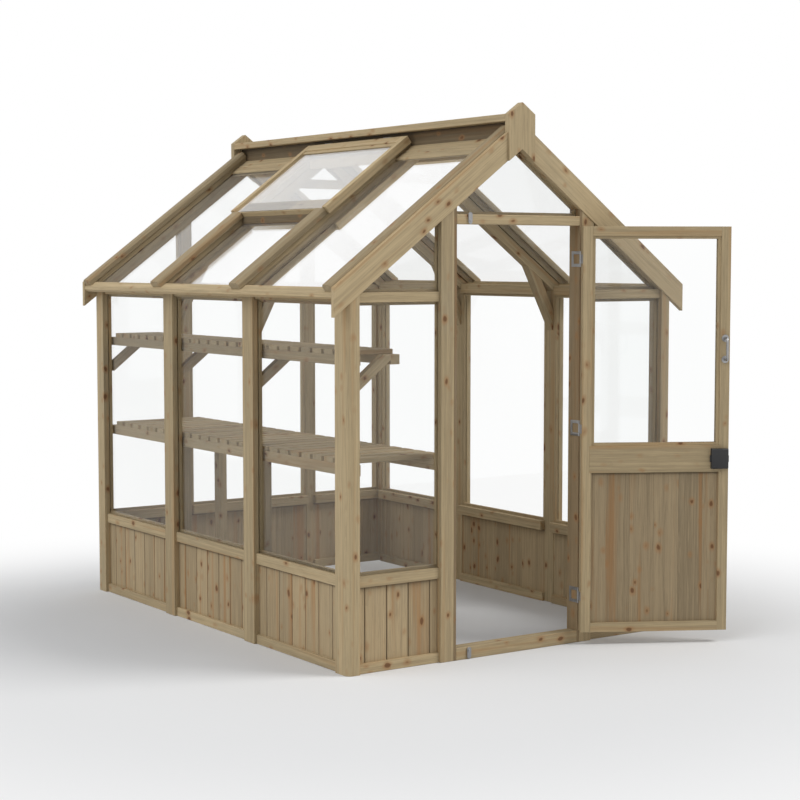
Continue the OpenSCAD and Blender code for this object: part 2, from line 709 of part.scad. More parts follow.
// Shelf and staging on the left side
function slat_count(run) = floor((run - slat_w) / slat_pitch) + 1;
module slats(x, z1, run) {
    n = slat_count(run);
    for (i = [0:n - 1]) {
        y = (i - (n - 1) / 2) * slat_pitch;
        block(x, [y - slat_w / 2, y + slat_w / 2], [z1 - slat_t, z1]);
    }
}
shelf_h = eaves_h - shelf_drop;
slat_end_gap = 18;      // from the last slat to the corner post
bearer_bite = 29;       // how far the bearers run past the corner posts' inner edges
slat_run = 2 * (post_in_y - slat_end_gap);
bearer_end = post_in_y + bearer_bite;
aisle_x0 = door_post_x0;
shelf_x0 = post_in_x - shelf_d;
staging_bearer_z = [staging_h - slat_t - staging_bearer_h, staging_h - slat_t];
shelf_bearer_z = [shelf_h - slat_t - shelf_bearer_h, shelf_h - slat_t];
module staging_slats() placed() color(pine_light)
    left_side() slats([aisle_x0, post_in_x], staging_h, slat_run);
module staging_bearers() placed() color(pine) left_side() {
    block([post_in_x - bearer_w, post_in_x], [-bearer_end, bearer_end], staging_bearer_z);
    block([aisle_x0, aisle_x0 + bearer_w], [door_post_d - half_l, half_l - rear_post_d],
        staging_bearer_z);
}
module staging_legs() placed() color(pine) left_side() {
    z = [0, staging_bearer_z[0]];
    both_ends() block([post_in_x - bearer_w, post_in_x],
        [-side_post_y - bearer_w / 2, bearer_w / 2 - side_post_y], z);
    for (y = [-leg_front_y, leg_rear_y])
        block([aisle_x0, aisle_x0 + bearer_w], [y - bearer_w / 2, y + bearer_w / 2], z);
}
module shelf_slats() placed() color(pine_light)
    left_side() slats([shelf_x0, post_in_x], shelf_h, slat_run);
module shelf_bearers() placed() color(pine) left_side() {
    block([post_in_x - bearer_w, post_in_x], [-bearer_end, bearer_end], shelf_bearer_z);
    block([shelf_x0, shelf_x0 + bearer_w], [-bearer_end, bearer_end], shelf_bearer_z);
}
bracket_toe = 18;       // from the inner bearer to where a bracket's lower edge leaves it
module bracket(post_x) {
    x0 = shelf_x0 + bearer_w;
    intersection() {
        translate([x0 + bracket_toe, shelf_bearer_z[0] + 5]) rotate(-bracket_angle)
            translate([-shelf_d, 0]) square([3 * shelf_d, bracket_w]);
        translate([x0, 0]) square([post_x - x0, shelf_bearer_z[1]]);
    }
}
module shelf_brackets() placed() color(pine) left_side() both_ends() {
    along_y(-post_in_y - bracket_t, -post_in_y) bracket(post_in_x);
    along_y(-side_post_y - bracket_t / 2, bracket_t / 2 - side_post_y)
        bracket(half_w - side_post_t);
}

// Door, drawn closed and then turned about its hinge pins
pin_x = doorway_w / 2 - 0.5;
pin_y = -half_l - 5;
pin_r = 2;
knuckle_r = 4.5;
door_x = doorway_w / 2 - door_gap;
door_z0 = threshold_h + door_gap;
door_z1 = header_z0 - door_gap;
stile_x = door_x - stile_w;
mid_z = [door_z0 + mid_rail_z, door_z0 + mid_rail_z + mid_rail_h];
panel_set = 15;
panel_y = [panel_set - half_l, panel_set + board_t - half_l];
panel_bite = 8;
door_pane_y = [door_t / 2 - 2 - half_l, door_t / 2 - 2 + pane_t - half_l];
door_pane_bite = 6;
light_z = [mid_z[1], door_z1 - door_rail_h];
module on_door() {
    placed() translate([pin_x, pin_y, 0]) rotate(door_open) translate([-pin_x, -pin_y, 0]) children();
}
module door_panel_slot() {
    block([-stile_x - panel_bite, stile_x + panel_bite], panel_y,
        [door_z0 + door_rail_h - panel_bite, mid_z[0] + panel_bite]);
}
module door_pane_slot() {
    block([-stile_x - door_pane_bite, stile_x + door_pane_bite], door_pane_y,
        [light_z[0] - door_pane_bite, light_z[1] + door_pane_bite]);
}
module mid_rail() {
    block([-stile_x - rail_housing, stile_x + rail_housing], [door_y0, door_y1], mid_z);
}
module door_stiles() on_door() color(pine_light) difference() {
    both_sides() block([stile_x, door_x], [door_y0, door_y1], [door_z0, door_z1]);
    door_panel_slot();
    door_pane_slot();
    mid_rail();
}
module door_rails() on_door() color(pine_light) difference() {
    union() {
        block([-stile_x, stile_x], [door_y0, door_y1], [door_z0, door_z0 + door_rail_h]);
        mid_rail();
        block([-stile_x, stile_x], [door_y0, door_y1], [light_z[1], door_z1]);
    }
    door_panel_slot();
    door_pane_slot();
}
module door_boards() on_door() color(pine_light) {
    run = 2 * (stile_x + panel_bite);
    translate([-run / 2, panel_y[0], 0])
        board_run(run, door_z0 + door_rail_h - panel_bite, mid_z[0] + panel_bite);
}
module door_glass() on_door() color(clear_glass)
    block([glass_gap - stile_x - door_pane_bite, stile_x + door_pane_bite - glass_gap], door_pane_y,
        [light_z[0] - door_pane_bite + glass_gap, light_z[1] + door_pane_bite - glass_gap]);
module door_beads() on_door() color(pine_light)
    for (y = [[door_pane_y[0] - bead_w, door_pane_y[0]], [door_pane_y[1], door_pane_y[1] + bead_w]]) {
        level = [bead_w + joint_gap - stile_x, stile_x - bead_w - joint_gap];
        both_sides() block([stile_x - bead_w, stile_x], y, light_z);
        block(level, y, [light_z[0], light_z[0] + bead_w]);
        block(level, y, [light_z[1] - bead_w, light_z[1]]);
    }

// Pull handles: two round feet and a bar with rounded corners, on both faces of the door
rose_r = 15.5;
rose_t = 4;
handle_r = handle_bar_d / 2;
bend_r = 14;
module pull_handle() {
    rise = handle_feet / 2;
    straight = handle_reach - handle_r - bend_r;
    for (s = [0, 1]) mirror([0, 0, s]) {
        translate([0, 0, rise]) rotate([-90, 0, 0]) {
            cylinder(h = rose_t, r = rose_r);
            cylinder(h = straight, r = handle_r);
        }
        translate([0, straight, rise - bend_r]) rotate([0, -90, 0])
            rotate_extrude(angle = 90) translate([bend_r, 0]) circle(handle_r);
    }
    translate([0, straight + bend_r, -rise + bend_r]) cylinder(h = handle_feet - 2 * bend_r, r = handle_r);
}
handle_x = -(stile_x + stile_w / 2);
module door_handles() on_door() color(steel) {
    translate([handle_x, door_y1, door_z0 + handle_z]) pull_handle();
    translate([handle_x, door_y0, door_z0 + handle_z]) mirror([0, 1, 0]) pull_handle();
}

// Lock
lock_set = 5;
lock_x0 = lock_set - door_x;
bolt_proud = 3;
bolt_tail = 5;
lock_edge = 3;
module lock_case() on_door() color(black) difference() {
    translate([lock_x0, door_y1, lock_z - lock_h / 2]) rotate([90, 0, 90]) linear_extrude(lock_w)
        polygon([[0, 0], [lock_t - lock_edge, 0], [lock_t, lock_edge], [lock_t, lock_h - lock_edge],
            [lock_t - lock_edge, lock_h], [0, lock_h]]);
    bolt_hole([lock_x0 - over, lock_x0 + lock_w + over], slide_gap);
}
module lock_bolt() on_door() color(black)
    bolt_hole([lock_x0 - bolt_proud, lock_x0 + lock_w + bolt_tail], 0);
key_cover_r = 14;
key_cover_t = 3;
module key_cover() on_door() color(black)
    translate([lock_x0 + lock_w / 2, door_y0, lock_z]) rotate([90, 0, 0])
        cylinder(h = key_cover_t, r = key_cover_r);
keep_t = 1.2;
module bolt_keep() placed() color(steel) difference() {
    block([-doorway_w / 2, keep_t - doorway_w / 2],
        [bolt_y - bolt_t, lining_d - half_l], [lock_z - lock_h / 2, lock_z + lock_h / 2]);
    bolt_hole([-doorway_w / 2 - over, keep_t + over - doorway_w / 2], slide_gap);
}

// Flush hinges: a ring leaf on the lining, and an inner leaf on the door's edge that nests in it
hinge_zs = [door_z0 + hinge_bottom, (door_z0 + hinge_bottom + door_z1 - hinge_top) / 2,
    door_z1 - hinge_top];
ring_x = [doorway_w / 2 - 2.2, doorway_w / 2];
leaf_x = [door_x, door_x + 2.2];
ring_side = 13;
leaf_gap = 1.2;
knuckle_gap = 0.4;
inner_h = hinge_h - 2 * ring_side - 2 * leaf_gap;
inner_w = hinge_w - ring_side - leaf_gap;
module knuckle(z0, z1) {
    translate([pin_x, pin_y, z0]) cylinder(h = z1 - z0, r = knuckle_r);
}
module hinge_bore() {
    translate([pin_x, pin_y, -hinge_h]) cylinder(h = 2 * hinge_h, r = pin_r + pin_gap);
}
module hinge_ring() {
    inner = inner_h / 2 + leaf_gap;
    difference() {
        union() {
            block(ring_x, [pin_y, hinge_w - half_l], [-hinge_h / 2, hinge_h / 2]);
            knuckle(-hinge_h / 2, -inner);
            knuckle(inner, hinge_h / 2);
        }
        block([ring_x[0] - over, ring_x[1] + over],
            [pin_y - knuckle_r - over, inner_w + leaf_gap - half_l], [-inner, inner]);
        hinge_bore();
    }
}
module hinge_leaf() {
    half = inner_h / 2 + leaf_gap - knuckle_gap;
    difference() {
        union() {
            block(leaf_x, [pin_y, inner_w - half_l], [-inner_h / 2, inner_h / 2]);
            knuckle(-half, half);
        }
        hinge_bore();
    }
}
module hinge_rings() placed() color(steel) for (z = hinge_zs) translate([0, 0, z]) hinge_ring();
module hinge_leaves() on_door() color(steel) for (z = hinge_zs) translate([0, 0, z]) hinge_leaf();

// Turn buttons on the header and the threshold, with their long arms clear of the door
button_t = 3;
button_short = 14;
button_y = -half_l - 3;
screw_r = 2.5;
button_zs = [threshold_h - button_short, header_z0 + button_short];
module button_at(i) {
    placed() translate([-button_x, button_y, button_zs[i]]) mirror([0, 0, 1 - i]) children();
}
module turn_button() {
    r = button_w / 2;
    difference() {
        translate([0, -0.2, 0]) rotate([90, 0, 0]) linear_extrude(button_t) union() {
            translate([-r, r - button_short]) square([button_w, button_l - button_w]);
            translate([0, r - button_short]) circle(r);
            translate([0, button_l - button_short - r]) circle(r);
        }
        rotate([90, 0, 0]) translate([0, 0, -over]) cylinder(h = button_t + 2 * over, r = screw_r + pin_gap);
    }
}
module header_button() button_at(1) color(steel) turn_button();
module threshold_button() button_at(0) color(steel) turn_button();
module button_screws() color(steel) for (i = [0, 1]) button_at(i) rotate([90, 0, 0]) {
    translate([0, 0, -3]) cylinder(h = 3, r = 4);
    cylinder(h = button_t + 0.4, r = screw_r);
    translate([0, 0, button_t + 0.4]) cylinder(h = 2, r = 5);
}

// Roof vent on the left slope, hinged under the ridge cap
module on_vent() {
    placed() left_side() on_slope(vent_x1) children();
}
vent_n = [rest_gap, vent_t];
vent_in_y = vent_w / 2 - vent_stile_w;
vent_bed_y = vent_w / 2 - vent_edge_w;
vent_pane_n = [vent_glass_n, vent_glass_n + pane_t];
vent_pane_set = 3;      // from the vent's lower end to its pane's
vent_pane_bite = 8;     // how far the pane enters the top rail
vent_bead_w = 22;
vent_bead_t = 4;
vent_top_s = vent_l - vent_top_w;
vent_level = [joint_gap - vent_in_y, vent_in_y - joint_gap];
// The pane lies on the bottom rail and on the stiles' inner ledges, between their edge strips
module vent_frame() on_vent() color(pine) {
    difference() {
        union() {
            both_ends() block(vent_n, [vent_in_y, vent_w / 2], [0, vent_l]);
            block([vent_n[0], vent_glass_n], vent_level, [0, vent_bottom_w]);
            block(vent_n, vent_level, [vent_top_s, vent_l]);
        }
        block([vent_glass_n, vent_t + over], [-vent_bed_y, vent_bed_y], [-over, vent_top_s]);
        block([vent_pane_n[0] - groove_gap, vent_pane_n[1] + groove_gap], [-vent_bed_y, vent_bed_y],
            [vent_top_s - over, vent_top_s + vent_pane_bite + glass_gap]);
    }
    block([vent_pane_n[1], vent_pane_n[1] + vent_bead_t], [joint_gap - vent_bed_y, vent_bed_y - joint_gap],
        [vent_top_s - vent_bead_w, vent_top_s - joint_gap]);
}
module vent_glass() on_vent() color(clear_glass)
    block(vent_pane_n, [glass_gap - vent_bed_y, vent_bed_y - glass_gap],
        [vent_pane_set, vent_top_s + vent_pane_bite]);

vent_axis_n = vent_t - 6;
vent_axis_s = vent_l + 6;
vent_knuckle_r = 5;
vent_pin_r = 2.5;
vent_hinge_ys = [-250, 250];
vent_axis_x = vent_x1 - vent_axis_s * cos(roof_pitch) + vent_axis_n * sin(roof_pitch);
vent_axis_z = roof_z(vent_x1) + vent_axis_s * sin(roof_pitch) + vent_axis_n * cos(roof_pitch);
third = vent_hinge_l / 3;
module vent_bore() {
    translate([vent_axis_x, vent_hinge_l, vent_axis_z]) rotate([90, 0, 0])
        cylinder(h = 2 * vent_hinge_l, r = vent_pin_r + pin_gap);
}
module vent_knuckle(y0, y1) {
    translate([vent_axis_x, y1, vent_axis_z]) rotate([90, 0, 0]) cylinder(h = y1 - y0, r = vent_knuckle_r);
}
// Leaf on the end of the vent's top rail, with the middle knuckle on a tongue
vent_leaf_t = 2;
vent_leaf_n = [8, vent_axis_n - vent_knuckle_r - 1];
module vent_leaf_knuckle() {
    axis = [vent_axis_x, vent_axis_z];
    difference() {
        union() {
            translate(axis) circle(vent_knuckle_r);
            translate([vent_x1, roof_z(vent_x1)]) rotate(90 - roof_pitch)
                translate([vent_leaf_n[0] + 2, vent_l + 0.3])
                    square([vent_axis_n - vent_leaf_n[0] - 2, vent_leaf_t - 0.3]);
        }
        translate(axis) circle(vent_pin_r + pin_gap);
    }
}
module vent_hinge_leaves() placed() color(steel) left_side() for (y = vent_hinge_ys)
    translate([0, y, 0]) {
        on_slope(vent_x1) block(vent_leaf_n, [-vent_hinge_l / 2, vent_hinge_l / 2],
            [vent_l, vent_l + vent_leaf_t - 0.2]);
        along_y(knuckle_gap - third / 2, third / 2 - knuckle_gap) vent_leaf_knuckle();
    }
// Bent plate on the side of the ridge beam, with the outer knuckles
vent_plate_t = 2;
vent_plate_h = 20;
module vent_hinge_plates() placed() color(steel) left_side() for (y = vent_hinge_ys)
    translate([0, y, 0]) difference() {
        top = vent_axis_z + vent_plate_t;
        union() {
            block([rafter_x0, rafter_x0 + vent_plate_t + 0.5], [-vent_hinge_l / 2, vent_hinge_l / 2],
                [top - vent_plate_h, top]);
            block([rafter_x0 + vent_plate_t, vent_axis_x - vent_knuckle_r - 1],
                [-vent_hinge_l / 2, vent_hinge_l / 2], [vent_axis_z, top]);
            both_ends() {
                block([vent_axis_x - vent_knuckle_r - 2, vent_axis_x], [third / 2, vent_hinge_l / 2],
                    [vent_axis_z, top]);
                vent_knuckle(third / 2, vent_hinge_l / 2);
            }
        }
        vent_bore();
    }
module hinge_pins() placed() color(steel) {
    for (z = hinge_zs)
        translate([pin_x, pin_y, z - hinge_h / 2]) cylinder(h = hinge_h, r = pin_r);
    left_side() for (y = vent_hinge_ys)
        translate([vent_axis_x, y + vent_hinge_l / 2, vent_axis_z]) rotate([90, 0, 0])
            cylinder(h = vent_hinge_l, r = vent_pin_r);
}

// Stay: a flat bar that turns under the vent's bottom rail, and the peg that takes it
stay_s = 60;
stay_y = -150;
stay_w = 14;
stay_t = 3;
stay_n = -4;
stay_hole_step = 50;
module stay_hole(y) {
    translate([stay_n - over, y, stay_s]) rotate([0, 90, 0])
        cylinder(h = stay_t + 2 * over, r = screw_r + pin_gap);
}
module vent_stay() on_vent() color(steel) difference() {
    union() {
        block([stay_n, stay_n + stay_t], [stay_y, stay_y + stay_l],
            [stay_s - stay_w / 2, stay_s + stay_w / 2]);
        for (y = [stay_y, stay_y + stay_l]) translate([stay_n, y, stay_s]) rotate([0, 90, 0])
            cylinder(h = stay_t, r = stay_w / 2);
    }
    for (y = [stay_y:stay_hole_step:stay_y + stay_l]) stay_hole(y);
}
module stay_screw() on_vent() color(steel) translate([0, stay_y, stay_s]) rotate([0, 90, 0]) {
    translate([0, 0, stay_n - 2.3]) cylinder(h = 2, r = 5);
    translate([0, 0, stay_n - 0.4]) cylinder(h = rest_gap + 0.4 - stay_n, r = screw_r);
}
peg_y = 70;
peg_r = 2.5;
peg_h = 10;
peg_plate = 2;
peg_reach = 12;
module stay_peg() placed() color(steel) left_side() {
    top = roof_z(trimmer_x0) - peg_h;
    y = [peg_y - 10, peg_y + 10];
    block([trimmer_x0 - peg_plate, trimmer_x0], y, [top - 20, top]);
    block([trimmer_x0 - peg_reach, trimmer_x0 - peg_plate], y, [top - peg_plate, top]);
    translate([trimmer_x0 - peg_reach + peg_r + 1, peg_y, top - peg_plate / 2])
        cylinder(h = peg_h, r = peg_r);
}

corner_posts();
side_posts();
door_posts();
rear_posts();
door_linings();
door_header();
threshold();
bottom_rails();
sill_rails();
gable_rails();
wall_plates();
side_boards();
gable_boards();
side_glass();
gable_glass();
gable_top_glass();
side_beads();
gable_beads();
ridge_beam();
ridge_cap();
finials();
bargeboards();
gable_rafters();
bay_rafters();
glazing_caps();
eaves_rails();
roof_top_rails();
vent_trimmer();
roof_glass();
knee_braces();
collars();
shelf_bearers();
shelf_slats();
shelf_brackets();
staging_bearers();
staging_slats();
staging_legs();
hinge_rings();
hinge_pins();
bolt_keep();
button_screws();
vent_hinge_plates();
stay_peg();
door_stiles();
door_rails();
door_boards();
door_glass();
door_beads();
door_handles();
hinge_leaves();
lock_case();
key_cover();
lock_bolt();
header_button();
threshold_button();
vent_frame();
vent_glass();
vent_hinge_leaves();
stay_screw();
vent_stay();
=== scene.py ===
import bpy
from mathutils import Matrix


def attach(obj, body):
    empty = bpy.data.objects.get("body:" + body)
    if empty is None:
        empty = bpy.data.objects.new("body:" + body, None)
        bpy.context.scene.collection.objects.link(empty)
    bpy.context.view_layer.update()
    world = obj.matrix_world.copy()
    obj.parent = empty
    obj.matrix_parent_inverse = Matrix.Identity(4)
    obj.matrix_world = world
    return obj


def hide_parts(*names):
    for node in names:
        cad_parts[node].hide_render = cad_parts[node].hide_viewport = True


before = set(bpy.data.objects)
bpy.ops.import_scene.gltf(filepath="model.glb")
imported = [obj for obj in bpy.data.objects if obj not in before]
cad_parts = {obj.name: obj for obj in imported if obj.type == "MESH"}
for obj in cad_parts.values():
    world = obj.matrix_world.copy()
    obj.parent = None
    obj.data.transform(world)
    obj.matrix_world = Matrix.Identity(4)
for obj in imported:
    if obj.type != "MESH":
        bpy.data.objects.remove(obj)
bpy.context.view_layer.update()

import math
import random

import bpy
from mathutils import Matrix, Vector

# Camera: stands at eye height off the house's front left corner and looks slightly down at it.
# Its place, turn and lens were fitted to the house's posts, rails and roof edges.
camera_place = (-4.5952, -5.9216, 1.6285)
camera_turn = (math.radians(90 - 4.388), 0, math.radians(-34.163))
camera_lens, film_width = 81.1, 36
bpy.ops.object.camera_add(location=camera_place, rotation=camera_turn)
camera = bpy.context.object
camera.data.lens = camera_lens
camera.data.sensor_width = film_width
bpy.context.scene.camera = camera
bpy.context.scene.view_settings.view_transform = "Standard"

# Light: an even white sky, a soft lamp high on the right and a much broader one on the left in front,
# as in a bright studio. Eyes and mirrors see plain white round the house, so its glass looks clear.
sky_level, backdrop_level = 0.43, 1.0
right_lamp = {"level": 1.55, "spread": 26, "aim": (-0.80, 0.60, -1.10), "colour": (1.0, 0.98, 0.95)}
left_lamp = {"level": 1.20, "spread": 60, "aim": (0.90, -0.05, -0.80), "colour": (0.98, 0.99, 1.0)}
lamp_place = (5, 2, 6)
bounces, panes_in_a_row = 20, 48


def feed(tree, value, entry):
    """Links a node's entry to another node's output, or sets it to a number or a colour."""
    if isinstance(value, bpy.types.NodeSocket):
        tree.links.new(value, entry)
    else:
        entry.default_value = value


def reckoned(tree, kind, first, second, clamp=False):
    """A sum, product or the like of two values."""
    node = tree.nodes.new("ShaderNodeMath")
    node.operation = kind
    node.use_clamp = clamp
    feed(tree, first, node.inputs[0])
    feed(tree, second, node.inputs[1])
    return node.outputs[0]


def mixed(tree, share, first, second):
    """Two shaders, with the second one's share."""
    mix = tree.nodes.new("ShaderNodeMixShader")
    for entry, value in enumerate((share, first, second)):
        feed(tree, value, mix.inputs[entry])
    return mix.outputs[0]


def looked_at(tree):
    """1 for what eyes and mirrors see, also through glass, and 0 for light on its way between pieces."""
    rays = tree.nodes.new("ShaderNodeLightPath").outputs
    mirrored = reckoned(tree, "MAXIMUM", rays["Is Camera Ray"], rays["Is Glossy Ray"])
    return reckoned(tree, "MAXIMUM", mirrored, rays["Is Transmission Ray"])


world = bpy.data.worlds.new("studio_sky")
bpy.context.scene.world = world
world.use_nodes = True
sky = world.node_tree
lit_sky = sky.nodes["Background"]
backdrop = sky.nodes.new("ShaderNodeBackground")
for shell, level in ((lit_sky, sky_level), (backdrop, backdrop_level)):
    shell.inputs["Color"].default_value = (1, 1, 1, 1)
    shell.inputs["Strength"].default_value = level
sky.links.new(mixed(sky, looked_at(sky), lit_sky.outputs[0], backdrop.outputs[0]),
              sky.nodes["World Output"].inputs["Surface"])
for lamp_facts in (right_lamp, left_lamp):
    bpy.ops.object.light_add(type="SUN", location=lamp_place)
    lamp = bpy.context.object
    lamp.data.energy = lamp_facts["level"]
    lamp.data.angle = math.radians(lamp_facts["spread"])
    lamp.data.color = lamp_facts["colour"]
    lamp.rotation_euler = Vector(lamp_facts["aim"]).to_track_quat("-Z", "Y").to_euler()
bpy.context.scene.cycles.max_bounces = bounces
bpy.context.scene.cycles.transmission_bounces = bounces
bpy.context.scene.cycles.transparent_max_bounces = panes_in_a_row

# Studio floor: a pale matt sheet that fades to white away from the house and keeps its shadow.
# Only eyes and mirrors see the white; the light that it throws back stays that of a pale sheet.
floor_half, floor_drop = 40, 0.0005
fade_middle = (-0.5, 0.4)
fade_from, fade_to = 1.5, 3.7
floor_colour = (0.760, 0.770, 0.785, 1)


def new_finish(name):
    """A finish to be mixed: the material, its node tree and its plain shader."""
    finish = bpy.data.materials.new(name)
    finish.use_nodes = True
    return finish, finish.node_tree, finish.node_tree.nodes["Principled BSDF"]


def graded(tree, value, low, high, at_low=0.0, at_high=1.0, smooth=True):
    """Goes from at_low to at_high while a value goes from low to high."""
    grade = tree.nodes.new("ShaderNodeMapRange")
    if smooth:
        grade.interpolation_type = "SMOOTHSTEP"
    for entry, number in (("From Min", low), ("From Max", high), ("To Min", at_low), ("To Max", at_high)):
        grade.inputs[entry].default_value = number
    tree.links.new(value, grade.inputs["Value"])
    return grade.outputs["Result"]


bpy.ops.mesh.primitive_plane_add(size=2 * floor_half, location=(*fade_middle, -floor_drop))
floor = bpy.context.object
floor.name = "studio_floor"
floor_paint, floor_tree, sheet = new_finish("floor_paint")
sheet.inputs["Base Color"].default_value = floor_colour
sheet.inputs["Roughness"].default_value = 0.9
sheet.inputs["Specular IOR Level"].default_value = 0.1
white = floor_tree.nodes.new("ShaderNodeEmission")
white.inputs["Color"].default_value = (1, 1, 1, 1)
white.inputs["Strength"].default_value = backdrop_level
away = floor_tree.nodes.new("ShaderNodeVectorMath")
away.operation = "LENGTH"
floor_tree.links.new(floor_tree.nodes.new("ShaderNodeTexCoord").outputs["Object"], away.inputs[0])
fade = graded(floor_tree, away.outputs["Value"], fade_from, fade_to)
fade_share = reckoned(floor_tree, "MULTIPLY", looked_at(floor_tree), fade)
floor_tree.links.new(mixed(floor_tree, fade_share, sheet.outputs[0], white.outputs[0]),
                     floor_tree.nodes["Material Output"].inputs["Surface"])
floor.data.materials.append(floor_paint)


# Corner posts: planed softwood, 58 by 92 mm, rounded on the outer edge and rebated on the inner ones.
# They stand on the ground and carry the eaves rails and the gable rafters. The CAD's shape is copied,
# and every stick gets its own cut of the same preserved wood.
def stored(tree, kind, output):
    """What lay_grain has stored under a name on each piece."""
    attribute = tree.nodes.new("ShaderNodeAttribute")
    attribute.attribute_name = kind
    return attribute.outputs[output]


def stretched(tree, place, scale):
    """A place with each of its axes scaled."""
    product = tree.nodes.new("ShaderNodeVectorMath")
    product.operation = "MULTIPLY"
    product.inputs[1].default_value = scale
    tree.links.new(place, product.inputs[0])
    return product.outputs[0]


def pushed(tree, place, cloud, reach):
    """A place moved by a noise's colour, up to reach on each axis."""
    push = tree.nodes.new("ShaderNodeVectorMath")
    push.operation = "MULTIPLY_ADD"
    push.inputs[1].default_value = reach
    tree.links.new(cloud, push.inputs[0])
    tree.links.new(place, push.inputs[2])
    return push.outputs[0]


def clouds(tree, place, scale, detail, roughness=0.5):
    """Soft noise, with the scale given in clouds to the metre on each axis."""
    noise = tree.nodes.new("ShaderNodeTexNoise")
    for entry, number in (("Scale", 1), ("Detail", detail), ("Roughness", roughness)):
        noise.inputs[entry].default_value = number
    tree.links.new(stretched(tree, place, scale), noise.inputs["Vector"])
    return noise.outputs


def along_axis(tree, place, axis):
    """One axis of a place or a direction."""
    parts = tree.nodes.new("ShaderNodeSeparateXYZ")
    tree.links.new(place, parts.inputs[0])
    return parts.outputs[axis]


def coloured(tree, below, above, share):
    """A colour laid over another one by a share. The colour below may be a mixed one."""
    mix = tree.nodes.new("ShaderNodeMix")
    mix.data_type = "RGBA"
    tree.links.new(share, mix.inputs["Factor"])
    feed(tree, (*below, 1) if isinstance(below, tuple) else below, mix.inputs["A"])
    feed(tree, (*above, 1), mix.inputs["B"])
    return mix.outputs["Result"]


def softwood(name, pale, streak, streak_share, painted_shadow_edge=9.0):
    """Preserved softwood: rings, fibres, brown streaks and knots along each stick's own grain. Boards
    are darker in their joints. Just below the height given last, where a rail's or cap's lower edge
    is, a strip of painted shadow darkens the wood; 9 m, far over the house, means that there is none."""
    wood, tree, shader = new_finish(name)
    grain = stored(tree, "grain", "Vector")
    height = along_axis(tree, tree.nodes.new("ShaderNodeTexCoord").outputs["Object"], "Z")
    painted_shadow_foot, painted_shadow_head = painted_shadow_edge - 0.016, painted_shadow_edge - 0.001

    # Growth rings, which wander a little along the stick
    ring_pitch, ring_reach = 42, (0.030, 0.030, 0)
    rings = tree.nodes.new("ShaderNodeTexWave")
    rings.wave_type = "RINGS"
    rings.rings_direction = "Z"
    rings.wave_profile = "SAW"
    for entry, number in (("Scale", ring_pitch), ("Distortion", 1.2), ("Detail", 2), ("Detail Scale", 0.6)):
        rings.inputs[entry].default_value = number
    wander = clouds(tree, grain, (9, 9, 1.4), 2)["Color"]
    tree.links.new(pushed(tree, grain, wander, ring_reach), rings.inputs["Vector"])
    fibres = clouds(tree, grain, (260, 260, 7), 4, 0.65)["Fac"]
    bands = clouds(tree, grain, (70, 70, 0.9), 3)["Fac"]
    streaks = clouds(tree, grain, (22, 22, 0.7), 3)["Fac"]
    weather = clouds(tree, grain, (5, 5, 1.6), 3)["Fac"]

    # Knots of several sizes, longer along the grain, each with a dark heart in a warm ring
    knot_spacing, knot_bend, knot_odds = (17, 17, 11), (0.28, 0.28, 0.28), 0.14
    bend = clouds(tree, grain, (30, 30, 14), 2)["Color"]
    knot_place = pushed(tree, stretched(tree, grain, knot_spacing), bend, knot_bend)
    cells = tree.nodes.new("ShaderNodeTexVoronoi")
    cells.inputs["Scale"].default_value = 1
    tree.links.new(knot_place, cells.inputs["Vector"])
    odds = tree.nodes.new("ShaderNodeSeparateColor")
    tree.links.new(cells.outputs["Color"], odds.inputs[0])
    smaller = reckoned(tree, "MULTIPLY", odds.outputs[0], knot_odds)
    knots = reckoned(tree, "ADD", cells.outputs["Distance"], smaller)

    def shade(share):
        return tuple(min(1, share * part) for part in pale)

    # From the bottom up: each layer's colour, where it lies and how well it covers
    weathered, knot_ring, knot_heart = (0.30, 0.27, 0.20), (0.34, 0.170, 0.065), (0.13, 0.055, 0.022)
    colour = coloured(tree, shade(0.84), shade(1.13), stored(tree, "tone", "Fac"))
    for tint, where, cover in (
            (shade(0.66), graded(tree, rings.outputs["Fac"], 0.55, 1.0), 0.30),
            (shade(0.66), graded(tree, bands, 0.50, 0.68), 0.36),
            (shade(1.32), graded(tree, bands, 0.50, 0.34), 0.34),
            (shade(0.62), graded(tree, fibres, 0.50, 0.68), 0.52),
            (shade(1.30), graded(tree, fibres, 0.48, 0.32), 0.42),
            (streak, graded(tree, streaks, 0.53, 0.70), streak_share),
            (weathered, graded(tree, weather, 0.55, 0.75), 0.22),
            (knot_ring, graded(tree, knots, 0.38, 0.14), 0.60),
            (knot_heart, graded(tree, knots, 0.20, 0.12), 0.82),
            (shade(0.22), stored(tree, "seam", "Fac"), 0.85),
            # Painted shadow: a dark strip just below the lower edge of the rail or cap above
            (shade(0.20), graded(tree, height, painted_shadow_foot, painted_shadow_head), 0.75)):
        colour = coloured(tree, colour, tint, reckoned(tree, "MULTIPLY", where, cover))
    tree.links.new(colour, shader.inputs["Base Color"])
    shader.inputs["Specular IOR Level"].default_value = 0.3
    tree.links.new(graded(tree, fibres, 0, 1, 0.62, 0.82, smooth=False), shader.inputs["Roughness"])
    relief = tree.nodes.new("ShaderNodeBump")
    relief.inputs["Strength"].default_value = 0.25
    relief.inputs["Distance"].default_value = 0.0008
    tree.links.new(fibres, relief.inputs["Height"])
    tree.links.new(relief.outputs["Normal"], shader.inputs["Normal"])
    return wood


